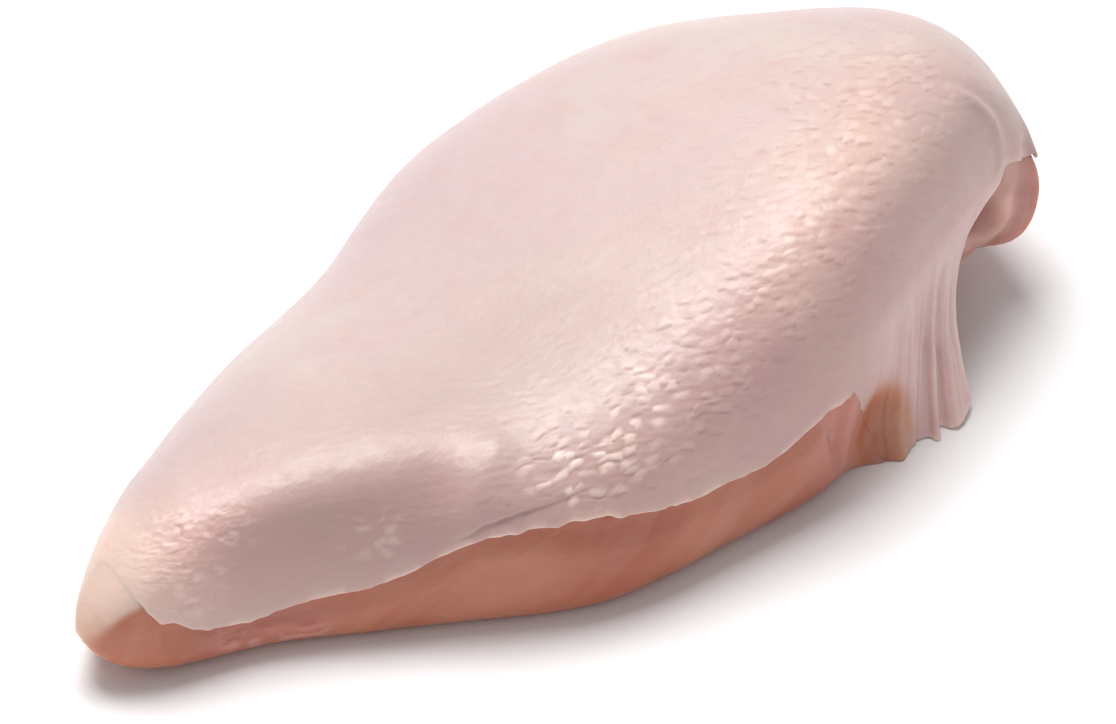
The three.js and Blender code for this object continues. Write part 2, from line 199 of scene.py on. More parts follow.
def flesh_face(s, ring):
    s, ring = np.broadcast_arrays(np.asarray(s, float), np.asarray(ring, float))
    p = pressed(drape(s, ring, form(s, ring), 1 - smooth(0.785, 0.86, s)), POCKET)
    z = p[..., 2]
    drawn = ((B_CLEAR * (1 - smooth(50, 60, z)) + B_FOOT * (1 - smooth(8, 30, z)))
             * smooth(0.80, 0.89, s) * (1 - smooth(-15, 20, p[..., 1])) * (1 - 0.7 * smooth(0.985, 1, s)))
    return np.stack([p[..., 0] - B_X * drawn, p[..., 1] - B_Y * drawn, z], -1)


def edge_height(s):
    return np.interp(s, EDGE_STATION, EDGE_Z)


def skin_end(ring):
    return (CURTAIN_B + 0.030 * smooth(-0.02, 0.26, ring) + 0.042 * smooth(0.31, 0.41, ring)
            + 0.006 * smooth(0.5, 1, ring) - 0.010 * smooth(1.5, 2, ring))


def skin_depth(s, ring, z):
    along, around = LENGTH * 0.9, 65.0
    d = (s - SKIN_START) * along
    for step in (0, 0.02, 0.04, 0.06, 0.08, 0.1):
        d = np.minimum(d, np.maximum((skin_end(ring - step) - s) * along, 0) + step * around)
        near = np.maximum(z - edge_height(np.minimum(s - 0.3 * step, CURTAIN_B)), 0) + 0.3 * step * along
        d = np.where(ring < 1, np.minimum(d, near), d)
    d = np.where(ring > 1.5, np.minimum(d, (SKIN_FAR - ring) * 60), d)
    return mix(SKIN_EDGE_THICK, SKIN_THICK, smooth(0, SKIN_TAPER, d))


def from_line(px, py, line):
    """Shortest way from points to a line of points, all in one plane."""
    best = np.full(np.broadcast(px, py).shape, 1e9)
    for (x0, y0), (x1, y1) in zip(line[:-1], line[1:]):
        dx, dy = x1 - x0, y1 - y0
        t = clamp(((px - x0) * dx + (py - y0) * dy) / max(dx * dx + dy * dy, 1e-9), 0, 1)
        best = np.minimum(best, np.hypot(px - (x0 + t * dx), py - (y0 + t * dy)))
    return best


def inside_skin(s, ring, z):
    """How far (mm) a place lies inside the skin's border, less than nothing outside it."""
    u = np.linspace(0, 1, 60) ** 1.6
    at = mix(SKIN_START, CURTAIN_B, u)
    r = ring_at(at, np.maximum(edge_height(at), 0.5))
    at = mix(SKIN_START, skin_end(r), u)
    up = skin_face(at, r)[..., 2]
    z = np.where(ring < 1, z, form(s, 1.0)[..., 2])               # past the crest it is the way back over the crest
    low = from_line(LENGTH * s, z, list(zip(LENGTH * at, up))) * np.where(z > np.interp(s, at, up), 1, -1)
    low = low + 30 * np.maximum(ring - 1, 0)
    rr = np.linspace(-0.1, 1.0, 56)
    end = from_line(LENGTH * s, 65 * ring, [(LENGTH * skin_end(r), 65 * r) for r in rr]) * np.where(s < skin_end(ring), 1, -1)
    tip = (s - SKIN_START) * LENGTH * 1.4
    far = (SKIN_FAR - ring) * 60
    ways = [clamp(v, -30, 60) for v in (low, end, tip, far)]
    return -0.9 * np.log(sum(np.exp(-v / 0.9) for v in ways))      # the least of them, with its corners rounded


def meets_flesh(s, ring, late=0.0):
    """Where the skin grows into the flesh instead of standing off it: tip, pocket, shoulder corner."""
    tip = 1 - smooth(0.032 + late, 0.046 + late, s)
    pocket = smooth(0.680, 0.700, s) * (1 - smooth(0.755, 0.775, s)) * (1 - smooth(0.4, 0.6, ring))
    corner = smooth(0.925, 0.945, s) * smooth(0.24, 0.31, ring) * (1 - smooth(1.6, 2.0, ring))
    return np.maximum(np.maximum(tip, pocket), corner)


# ------------------------------------------------------------------ seeded noise
def hashed(ix, iy, seed):
    h = (ix.astype(np.int64) * 374761393 + iy.astype(np.int64) * 668265263 + seed * 974634777) & 0xFFFFFFFF
    h = ((h ^ (h >> 13)) * 1274126177) & 0xFFFFFFFF
    h = h ^ (h >> 16)
    return (h & 0xFFFFFF) / float(0x1000000)


def noise(x, y, seed):
    """Smooth noise, -1..1, one cell per unit."""
    x, y = np.broadcast_arrays(np.asarray(x, float), np.asarray(y, float))
    ix, iy = np.floor(x).astype(np.int64), np.floor(y).astype(np.int64)
    fx, fy = x - ix, y - iy
    fx, fy = fx * fx * fx * (fx * (fx * 6 - 15) + 10), fy * fy * fy * (fy * (fy * 6 - 15) + 10)
    a, b = hashed(ix, iy, seed), hashed(ix + 1, iy, seed)
    c, d = hashed(ix, iy + 1, seed), hashed(ix + 1, iy + 1, seed)
    return 2 * mix(mix(a, b, fx), mix(c, d, fx), fy) - 1


def layered(x, y, seed, octaves=3):
    out, amp, total = 0.0, 1.0, 0.0
    for o in range(octaves):
        out = out + amp * noise(x * 2**o + 17.3 * o, y * 2**o - 9.1 * o, seed + o)
        total += amp
        amp *= 0.5
    return out / total


def cells(a, b, across, down, seed, jitter=0.32):
    """Nearest and second nearest point of a jittered staggered lattice: distances, the
    nearest point's own random number, and the way from it."""
    row0, first, second = np.floor(b / down).astype(np.int64), np.full(a.shape, 1e9), np.full(a.shape, 1e9)
    own, da0, db0 = np.zeros(a.shape), np.zeros(a.shape), np.zeros(a.shape)
    for dr in (-1, 0, 1):
        row = row0 + dr
        stagger = 0.5 * (row & 1)
        col0 = np.floor(a / across - stagger).astype(np.int64)
        for dc in (-1, 0, 1, 2):
            col = col0 + dc
            ja, jb = hashed(col, row, seed) - 0.5, hashed(col, row, seed + 7) - 0.5
            da = a - (col + stagger + 0.5 + 2 * jitter * ja) * across
            db = b - (row + 0.5 + 2 * jitter * jb) * down
            d = np.hypot(da, db)
            nearer = d < first
            second = np.where(nearer, first, np.minimum(second, d))
            own = np.where(nearer, hashed(col, row, seed + 13), own)
            da0, db0 = np.where(nearer, da, da0), np.where(nearer, db, db0)
            first = np.where(nearer, d, first)
    return first, second, own, da0, db0


def near_line(p, line, radius):
    """1 on a line through the given points, falling away over the radius (mm)."""
    best = np.full(p.shape[:-1], 1e9)
    line = np.asarray(line, float)
    if len(line) == 1:
        best = np.linalg.norm(p - line[0], axis=-1)
    for q, r in zip(line[:-1], line[1:]):
        d = r - q
        t = clamp(((p - q) @ d) / (d @ d), 0, 1)
        best = np.minimum(best, np.linalg.norm(p - (q + t[..., None] * d), axis=-1))
    return np.exp(-((best / radius) ** 2))


def blob(p, centre, radii):
    return np.exp(-((((p - np.asarray(centre, float)) / np.asarray(radii, float)) ** 2).sum(-1)))


# ------------------------------------------------------------------ where things are, mm
HOLLOW = [(-112, -37, 34), (-96, -43, 37), (-82, -48, 40), (-70, -52, 44)]      # soft hollow on the near side
WELT = [(-50, -53, 47.5), (-58, -57, 42), (-64, -60, 36)]                          # low ridge up from the fold
FOLD_X = [-66, -60.9, -56, -48.7, -40.2, -32, -19.4, -4.5]                          # doubled skin above the edge
FOLD_Z = [32.4, 34.8, 36.6, 38.4, 39.5, 38.5, 34.9, 31.6]
SHOULDER_RIDGE = [(112, -37, 77), (117.2, -40.1, 74.6), (120.1, -41.2, 70.9), (122.3, -41.7, 67.8), (123.9, -42.8, 62.6), (124.4, -43.7, 58), (124.3, -44.4, 50)]
BUMP_BAND = [(97, -26.5, 83), (77.5, -40, 83.4), (62.5, -48, 82), (46.5, -54, 78.5), (32, -57.5, 73), (21, -61, 67.5), (10.5, -65, 62),
             (1, -67.5, 57), (-12, -68, 52), (-23, -68, 48), (-33.5, -67.5, 45)]
BUMP_SPARKLE = [(-12, -66, 52), (-20, -68, 48), (-29, -69, 45), (-38, -67, 44)]
BUMP_TIP = [(-117, -28, 41.5), (-124, -24.5, 40), (-131, -22, 37), (-132, -27, 33), (-124, -31, 35), (-128, -32.5, 28)]
SHADED = [(-24, -32, 52), (-44, -36, 50), (-59, -39, 49), (-76, -39, 47), (-92, -35, 45)]        # painted shade: a greyer, darker stretch of the near slope
BUMP_CLUSTER = [(-88, -52, 36), (-82, -54, 34)]
LIP = [(131.9, -39.2, 35), (132.9, -38.8, 29), (132.8, -37.8, 23.5), (129.5, -37.8, 20), (124, -38.6, 20.5), (118.7, -39.7, 22.8)]
VIEW_RIGHT = np.array([0.803, -0.596, 0.0])
VIEW_UP = np.array([0.3807, 0.5129, 0.7696])
VIEW_BACK = np.array([-0.4585, -0.618, 0.6387])


def shared_relief(p):
    """Broad relief that both the skin and the flesh under it follow."""
    d = -2.3 * near_line(p, HOLLOW, 11.0)
    d += 1.0 * near_line(p, WELT, 5.0)
    d += 0.45 * layered(p[..., 0] / 34, (p[..., 1] + 0.7 * p[..., 2]) / 34, 5, 2)
    return d * smooth(4, 20, p[..., 2])


def pocket_amount(p):
    """How much of the wet orange pocket by the foot of the curtain is at a point."""
    return clamp(1.5 * blob(p, (62.5, -71, 9.5), (10.0, 16, 14.0)), 0, 1)


def nose_amount(p, reach):
    """Creamy blunt nose, where the skin has grown into the flesh; it fades out below a slanting line."""
    g = p @ VIEW_RIGHT + 1.2 * noise(p[..., 1] / 4.0, p[..., 2] / 4.0, 19)
    below = np.maximum(smooth(-0.5, 4.5, 23.5 + (g + 104.8) / 1.9 - p[..., 2]), smooth(-99, -93, g))
    return (1 - smooth(-5.0, 5.5, g + 104.0 + 0.6 * np.maximum(23.3 - p[..., 2], 0)) * below) * (1 - smooth(reach[0], reach[1], p[..., 0]))


def grown_reach(s):
    """How far in from a grown border the skin comes up out of the flesh, mm."""
    return mix(5.2, 3.0, smooth(0.2, 0.9, s))


def grown_rise(s, inside):
    """Height of the skin over the flesh near a border where the two have grown together, mm."""
    t = inside / grown_reach(s)
    return 0.03 * smooth(0.7, 1.1, t) * (1 - smooth(1.5, 2.5, t)) - mix(0.30, 0.45, smooth(0.2, 0.9, s)) * (1 - smooth(0.0, 1.0, t))


def rising(g):
    """Rows of plates lie nearly level, but climb to the right over the middle stretch."""
    soft = lambda v: 5.0 * np.logaddexp(0.0, v / 5.0)
    return 0.04 * g + 0.20 * (soft(g + 14) - soft(g - 38))


def bumps_on(g, h, seed):
    """Follicle plates and the short creases below them, on a plane in mm (g across, h up)."""
    gg = g + 1.4 * noise(g / 6.5, h / 6.5, seed + 21) + 0.60 * noise(g / 2.3, h / 1.9, seed + 23)
    hh = h + 1.0 * noise(g / 6.5, h / 6.5, seed + 22) + 0.32 * noise(g / 2.6, h / 2.0, seed + 24) - rising(g)
    f1, f2, own, fa, fb = cells(gg, hh, 4.2, 2.7, seed + 31, 0.45)
    tag = (own * 1e6).astype(np.int64)
    zero = np.zeros(own.shape, np.int64)
    there = smooth(0.35, 0.65, hashed(tag, zero, 3))
    long_ = 1.15 + 1.1 * hashed(tag, zero, 5)
    lean = fb - 0.16 * fa * (2 * hashed(tag, zero, 9) - 0.6)
    plate = np.exp(-((np.abs(fa) / 1.85) ** 3) - ((np.abs(lean - 0.15) / 1.0) ** 3))
    crease = np.exp(-((fa / long_) ** 2) - (((lean + 1.10) / 0.32) ** 2)) * there
    seam = (1 - smooth(0.0, 0.75, f2 - f1)) * 0.35
    return plate, crease, seam, own


# ------------------------------------------------------------------ grids
def spread(n, density):
    m = 800
    c = np.concatenate([[0], np.cumsum(density((np.arange(m) + 0.5) / m))])
    return np.interp(np.linspace(0, c[-1], n + 1), c, np.linspace(0, 1, m + 1))


def even_rings(f, a, b, n, weight, dense=460, bend_weight=2.0):
    """Ring positions from a to b, evenly spaced along the surface, times weight(point, ring)."""
    r = a[:, None] + (b - a)[:, None] * np.linspace(0, 1, dense + 1)[None, :]
    p = f(r)
    d = np.diff(p, axis=1)
    length = np.linalg.norm(d, axis=-1)
    way = d / np.maximum(length, 1e-9)[..., None]
    bend = np.arccos(clamp((way[:, 1:] * way[:, :-1]).sum(-1), -1, 1))
    step = length + bend_weight * np.minimum(np.pad(bend, ((0, 0), (1, 0))), 0.2)
    step = step * weight((p[:, 1:] + p[:, :-1]) / 2, (r[:, 1:] + r[:, :-1]) / 2)
    c = np.pad(np.cumsum(step, axis=1), ((0, 0), (1, 0)))
    return np.stack([np.interp(np.linspace(0, c[i, -1], n + 1), c[i], r[i]) for i in range(len(r))])


def grid_normals(p, wrap=False):
    if wrap:
        q = np.concatenate([p[:, -2:], p, p[:, :2]], axis=1)
        n = np.cross(np.gradient(q, axis=1), np.gradient(q, axis=0))[:, 2:-2]
    else:
        n = np.cross(np.gradient(p, axis=1), np.gradient(p, axis=0))
    return n / np.maximum(np.linalg.norm(n, axis=-1, keepdims=True), 1e-9)


def face_normals(face, s, ring, ds=0.0015, dr=0.008):
    """Outward normals of a face, from small steps along and around it."""
    along = face(np.minimum(s + ds, 0.9999), ring) - face(np.maximum(s - ds, 1e-5), ring)
    around = face(s, ring + dr) - face(s, ring - dr)
    n = np.cross(along, around)
    return n / np.maximum(np.linalg.norm(n, axis=-1, keepdims=True), 1e-9)


def relax(p, amount, times):
    """Evens out a grid of points where amount is above nothing; its last row only moves along itself."""
    for _ in range(times):
        q = p.copy()
        q[1:-1, 1:-1] = (p[2:, 1:-1] + p[:-2, 1:-1] + p[1:-1, 2:] + p[1:-1, :-2]) / 4
        q[-1, 1:-1] = (p[-1, 2:] + p[-1, :-2]) / 2
        p = p + (q - p) * amount[..., None]
    return p


def make_piece(name, points, quads, tris, uv_q, uv_t, marks):
    """A mesh object from points (mm), quads and triangles with their uvs, and per-point marks."""
    mesh = bpy.data.meshes.new(name)
    nv, nq, nt = len(points), len(quads), len(tris)
    mesh.vertices.add(nv)
    mesh.vertices.foreach_set("co", (points / 1000).astype(np.float32).ravel())
    loops = np.concatenate([quads.ravel(), tris.ravel()]).astype(np.int32)
    mesh.loops.add(len(loops))
    mesh.loops.foreach_set("vertex_index", loops)
    mesh.polygons.add(nq + nt)
    starts = np.concatenate([np.arange(nq) * 4, nq * 4 + np.arange(nt) * 3]).astype(np.int32)
    mesh.polygons.foreach_set("loop_start", starts)
    mesh.update(calc_edges=True)
    mesh.validate()
    uv = mesh.uv_layers.new(name="OFBake")
    uv.data.foreach_set("uv", np.concatenate([uv_q.reshape(-1, 2), uv_t.reshape(-1, 2)]).astype(np.float32).ravel())
    for key, values in marks.items():
        attr = mesh.attributes.new(key, "FLOAT", "POINT")
        attr.data.foreach_set("value", np.asarray(values, np.float32).ravel())
    mesh.shade_smooth()
    obj = bpy.data.objects.new(name, mesh)
    bpy.context.scene.collection.objects.link(obj)
    return obj


# ------------------------------------------------------------------ skin
NU, NV = 600, 432          # both divide by 3, for the coarser inner face
RIM = 4                    # steps round the free edge


def ragged(s):
    """Small unevenness of the cut near edge, mm of height."""
    x = s * LENGTH
    d = 0.55 * noise(x / 5.3, 3.1, 41) + 0.3 * noise(x / 2.1, 7.7, 42) + 0.7 * noise(x / 17.0, 1.3, 43)
    tabs = (-0.5 * np.exp(-(((s - 0.0525) / 0.0028) ** 2)) + 0.8 * np.exp(-(((s - 0.0635) / 0.006) ** 2))
            - 0.5 * np.exp(-(((s - 0.078) / 0.005) ** 2)))
    steps = 0.9 * np.exp(-(((s - 0.335) / 0.010) ** 2)) - 0.6 * np.exp(-(((s - 0.352) / 0.006) ** 2)) - 0.9 * np.exp(-(((s - 0.405) / 0.008) ** 2))
    return (d + steps) * smooth(0.075, 0.095, s) * (1 - smooth(0.67, 0.695, s)) + tabs


def skin_piece():
    u = spread(NU, lambda x: 1 + 0.9 * np.exp(-(x / 0.06) ** 2) + 0.45 * smooth(0.76, 0.84, x))
    U = u[:, None]
    es = mix(SKIN_START, CURTAIN_B, u)
    edge = np.maximum(edge_height(es) + ragged(es), 0.3)
    near = ring_at(es, edge)
    face = lambda ring: skin_face(mix(SKIN_START, skin_end(ring), U), ring)
    dense_where = lambda p, r: 1.0 - 0.45 * smooth(1.25, 1.7, r)
    ring = even_rings(face, np.full(NU + 1, SKIN_FAR), near, NV, dense_where)
    s = mix(SKIN_START, skin_end(ring), U)
    base = skin_face(s, ring)
    n = face_normals(skin_face, s, ring)
    p0 = base + SHIFT
    inside = np.maximum(inside_skin(s, ring, base[..., 2]), 0)
    meets = meets_flesh(s, ring)
    plain = 1 - meets * (1 - smooth(0.9, 2.2, inside / grown_reach(s)))           # 0 at a border that has grown into the flesh
    x, y, z = p0[..., 0], p0[..., 1], p0[..., 2]

    # lengths along the surface, in mm: a along the breast, b down from the crest
    da = np.linalg.norm(np.diff(base, axis=0), axis=-1)
    a = np.pad(np.cumsum(da, axis=0), ((1, 0), (0, 0)))
    a = a - a[NU // 2]
    db = np.linalg.norm(np.diff(base, axis=1), axis=-1)
    b = np.pad(np.cumsum(db, axis=1), ((0, 0), (1, 0)))
    crest = np.array([np.interp(-1.0, -ring[i], b[i]) for i in range(NU + 1)])
    crest = np.convolve(np.pad(crest, 12, mode="edge"), np.ones(25) / 25, mode="valid")
    b = b - crest[:, None]
    to_edge = np.array([b[i, -1] for i in range(NU + 1)])[:, None] - b            # mm above the near edge
    to_end = (a[-1] - a)                                                            # mm from the free shoulder edge
    k, w = curtain_at(s), clamp((CURTAIN_TOP - z) / CURTAIN_TOP, 0, 1)
    on_curtain = smooth(0.70, 0.77, s) * (1 - smooth(0.45, 0.62, ring)) * smooth(0.0, 0.22, w)

    broad = shared_relief(p0) * (1 - on_curtain)

    # doubled skin above the near edge: the upper layer stands proud
    fz = np.interp(x, FOLD_X, FOLD_Z) + 0.5 * noise(x / 4.0, 0.5, 61)
    strength = 0.80 * smooth(-68, -62, x) * (1 - smooth(-52, -34, x)) + 0.03 * smooth(-50, -34, x) * (1 - smooth(-20, -4, x))
    above = (z - fz) / np.maximum(0.35, np.linalg.norm(n[..., :2], axis=-1))
    low_side = (1 - smooth(0.8, 1.0, ring)) * smooth(-70, -66, x)
    fold = strength * low_side * (smooth(-0.5, 0.5, above) * np.exp(-np.maximum(above, 0) / 9) - 0.5 * np.exp(-((above + 0.6) / 0.9) ** 2))
    dip = -0.30 * np.exp(-(((z - fz - 1.0) / 3.2) ** 2)) * low_side * smooth(-40, -28, x) * (1 - smooth(-8, 6, x))
    edge_lift = 0.25 * np.exp(-to_edge / 2.2) * (ring < 1) * (1 - meets)

    # follicle plates, laid out on a plane that faces the near crest, and along the
    # surface where that plane would stretch them
    band = near_line(p0, BUMP_BAND, 16.0)
    sparkle = near_line(p0, BUMP_SPARKLE, 9.0)
    tip = near_line(p0, BUMP_TIP, 7.5)
    cluster = near_line(p0, BUMP_CLUSTER, 7.0)
    wide = near_line(p0, BUMP_BAND, 34.0)
    patch = 0.5 + 0.5 * layered(a / 17, b / 17, 71, 2)
    facing = smooth(0.22, 0.45, n @ VIEW_BACK)
    first, other = bumps_on(p0 @ VIEW_RIGHT, p0 @ VIEW_UP, 0), bumps_on(a, -b, 200)
    plate, crease, seam, own = (facing * f + (1 - facing) * o for f, o in zip(first, other))
    calm = (1 - 0.9 * on_curtain) * (1 - 0.8 * pocket_amount(p0)) * smooth(0.5, 5.0, to_edge + 100 * (ring > 1)) * plain
    amount = (0.07 + 0.22 * wide + 0.78 * band * (0.15 + 1.15 * patch) + 0.10 * sparkle + 0.06 * tip + 0.28 * cluster) * calm
    strong = 0.20 + 1.1 * own
    bumps = amount * (0.20 * plate * strong - 0.07 * seam - 0.03)
    pits = -0.14 * amount * crease
    # fine cross wrinkles; at the tip they are small level streaks between long creases about 3 mm apart
    g, h = p0 @ VIEW_RIGHT, p0 @ VIEW_UP
    wr = noise(g / 4.6, h / 0.95 - 0.06 * g, 81) + 0.6 * noise(g / 8.5, h / 1.7 - 0.04 * g, 82)
    wrinkles = (0.022 + 0.03 * band + 0.02 * wide) * wr * (1 - 0.7 * on_curtain) * facing
    bent = 0.5 * noise(g / 3.4, h / 3.0, 86)
    streak = 0.75 * noise(g / 2.7, (h + bent) / 1.05, 88) + 0.65 * noise(g / 1.3, (h + bent) / 0.75, 89) + 0.35 * noise(g / 6.0, h / 3.5, 90)
    level = np.abs(noise(g / 9.0, (h + bent) / 2.7, 85))
    tip_crease = tip * (1 - smooth(0.0, 0.13, level)) * smooth(-0.25, 0.35, noise(g / 5.0, h / 3.6, 87)) * facing
    wrinkles = (wrinkles + tip * facing * 0.13 * clamp(streak, -0.7, 1.0) - 0.13 * tip_crease) * plain
    grain = 0.02 * noise(a / 1.3, b / 1.3, 91) * plain

    # the pleated curtain: sharper grooves and ridges than the broad pleats
    def groove(k0, width, w0, w1, lean=0.0):
        kk = k - k0 - lean * (w - 0.7)
        return np.exp(-((kk / width) ** 2)) * smooth(w0, w0 + 0.16, w) * (1 - smooth(w1, w1 + 0.12, w))
    pl = (-1.0 * groove(0.435, 0.034, 0.42, 1.2) + 0.6 * groove(0.37, 0.035, 0.30, 1.2) + 0.6 * groove(0.52, 0.045, 0.5, 1.2)
          - 0.9 * groove(0.645, 0.028, 0.55, 1.2) - 0.45 * groove(0.245, 0.022, 0.14, 0.55) + 1.3 * groove(0.82, 0.11, 0.6, 1.2)
          + 0.4 * groove(0.30, 0.02, 0.25, 0.9) - 0.3 * groove(0.335, 0.014, 0.25, 0.8) + 0.3 * groove(0.19, 0.02, 0.2, 0.8)
          + 0.35 * groove(0.86, 0.014, 0.35, 0.75) - 0.3 * groove(0.90, 0.014, 0.35, 0.7) - 0.35 * groove(0.155, 0.022, 0.25, 0.7)
          + 0.35 * groove(0.58, 0.018, 0.5, 1.2) - 0.25 * groove(0.765, 0.012, 0.45, 1.2) + 0.25 * groove(0.73, 0.016, 0.4, 1.0)
          + 0.20 * noise(k * 17, w * 1.8, 95) * smooth(0.1, 0.4, w) + 0.14 * noise(k * 36, w * 2.4, 96) * smooth(0.1, 0.4, w))
    pleats = pl * on_curtain

    ridge = 0.8 * near_line(p0, SHOULDER_RIDGE, 2.4) - 0.4 * near_line(p0, np.array(SHOULDER_RIDGE) + np.array([3.6, 1.5, 0.5]), 3.0)

    # where the skin grows into the flesh it sinks to meet it
    sink = meets * grown_rise(s, inside) + 0.07 * smooth(0.030, 0.040, s) * (1 - smooth(0.060, 0.075, s))

    disp = broad + fold + dip + edge_lift + bumps + pits + wrinkles + grain + pleats + ridge + sink
    # thin edges stay thin
    free = np.minimum(to_end, to_edge + 100 * (ring > 1))
    outer = base + n * disp[..., None]
    inner_disp = broad + 0.8 * pleats + sink + 0.5 * fold
    depth = skin_depth(s, ring, z)
    inner = base + n * (inner_disp - depth)[..., None]
    back_to = NU - 110
    corner = (smooth(0.930, 0.955, s) * smooth(0.20, 0.28, ring) * (1 - smooth(0.65, 0.90, ring)))[back_to:]
    for g in (outer, inner):
        g[back_to:] = relax(g[back_to:], corner, 80)
        g[..., 2] = np.maximum(g[..., 2], EDGE_FLOOR)

    N1 = NV + 1
    O = np.arange((NU + 1) * N1).reshape(NU + 1, N1)
    # loop round the border: near edge, shoulder end, far edge, tip
    ring_ij = ([(i, NV) for i in range(NU)] + [(NU, j) for j in range(NV, 0, -1)]
               + [(i, 0) for i in range(NU, 0, -1)] + [(0, j) for j in range(NV)])
    li, lj = np.array([q[0] for q in ring_ij]), np.array([q[1] for q in ring_ij])
    nl = len(li)
    po, pi_ = outer[li, lj], inner[li, lj]
    out_way = po - outer[np.clip(li, 2, NU - 2), np.clip(lj, 2, NV - 2)]
    nn = n[li, lj]
    out_way = out_way - nn * (out_way * nn).sum(-1, keepdims=True)
    out_way /= np.maximum(np.linalg.norm(out_way, axis=-1, keepdims=True), 1e-9)
    thick = np.linalg.norm(po - pi_, axis=-1, keepdims=True)
    rows = []
    for r in range(1, RIM):
        t = r / RIM
        q = mix(po, pi_, 0.5 - 0.5 * math.cos(math.pi * t)) + out_way * thick * 0.5 * math.sin(math.pi * t)
        q[:, 2] = np.maximum(q[:, 2], EDGE_FLOOR)
        rows.append(q)
    n_outer = (NU + 1) * N1
    R = n_outer + np.arange((RIM - 1) * nl).reshape(RIM - 1, nl)
    ci, cj = np.arange(0, NU + 1, 3), np.arange(0, NV + 1, 3)
    n_rim = (RIM - 1) * nl
    I = n_outer + n_rim + np.arange(len(ci) * len(cj)).reshape(len(ci), len(cj))
    points = np.concatenate([outer.reshape(-1, 3), *rows, inner[np.ix_(ci, cj)].reshape(-1, 3)])

    def quads_of(G, flip):
        q = np.stack([G[:-1, :-1], G[:-1, 1:], G[1:, 1:], G[1:, :-1]], -1).reshape(-1, 4)
        return q[:, ::-1] if flip else q
    # uv: the outer face fills most of the square, the inner face a band below it
    gu = np.broadcast_to(0.02 + 0.96 * np.arange(NU + 1)[:, None] / NU, (NU + 1, N1))
    gv = np.broadcast_to(0.36 + 0.62 * np.arange(N1)[None, :] / NV, (NU + 1, N1))
    G = np.stack([gu, gv], -1)
    H = np.stack([np.broadcast_to(0.02 + 0.96 * ci[:, None] / NU, I.shape), np.broadcast_to(0.02 + 0.28 * cj[None, :] / NV, I.shape)], -1)
    def uvs_of(G, flip):
        q = np.stack([G[:-1, :-1], G[:-1, 1:], G[1:, 1:], G[1:, :-1]], -2).reshape(-1, 4, 2)
        return q[:, ::-1] if flip else q
    out_flip = True
    Q, UVQ = [quads_of(O, out_flip), quads_of(I, not out_flip)], [uvs_of(G, out_flip), uvs_of(H, not out_flip)]
    loops = np.vstack([O[li, lj], R])                       # RIM rows of the border
    nxt = np.roll(np.arange(nl), -1)
    pad = np.stack([np.where(lj == NV, 1, np.where(lj == 0, -1, 0)), ], -1)[:, 0]
    side = np.stack([np.where(li == NU, 1, np.where(li == 0, -1, 0)), np.where(lj == NV, 1, np.where(lj == 0, -1, 0))], -1)
    uv_border = G[li, lj]
    for r in range(RIM - 1):
        A, B = loops[r], loops[r + 1]
        q = np.stack([A, A[nxt], B[nxt], B], -1)
        ua, ub = uv_border + side * 0.0035 * r, uv_border + side * 0.0035 * (r + 1)
        uq = np.stack([ua, ua[nxt], ub[nxt], ub], -2)
        Q.append(q[:, ::-1] if BORDER_FLIP else q)
        UVQ.append(uq[:, ::-1] if BORDER_FLIP else uq)
    # the last border row meets the coarser inner face, three steps to one
    last = loops[RIM - 1]
    ul = uv_border + side * 0.0035 * (RIM - 1)
    ui = uv_border + side * 0.0035 * RIM
    inner_at = {}
    T, UVT = [], []
    def coarse(m):
        i, j = ring_ij[m % nl]
        return I[i // 3, j // 3]
    for m in range(0, nl, 3):
        m1, m2, m3 = (m + 1) % nl, (m + 2) % nl, (m + 3) % nl
        c0, c1 = coarse(m), coarse(m3)
        tri = [(last[m], last[m1], c0), (last[m1], c1, c0), (last[m1], last[m2], c1), (last[m2], last[m3], c1)]
        tuv = [(ul[m], ul[m1], ui[m]), (ul[m1], ui[m3], ui[m]), (ul[m1], ul[m2], ui[m3]), (ul[m2], ul[m3], ui[m3])]
        for t, v in zip(tri, tuv):
            T.append(t[::-1] if BORDER_FLIP else t)
            UVT.append(v[::-1] if BORDER_FLIP else v)
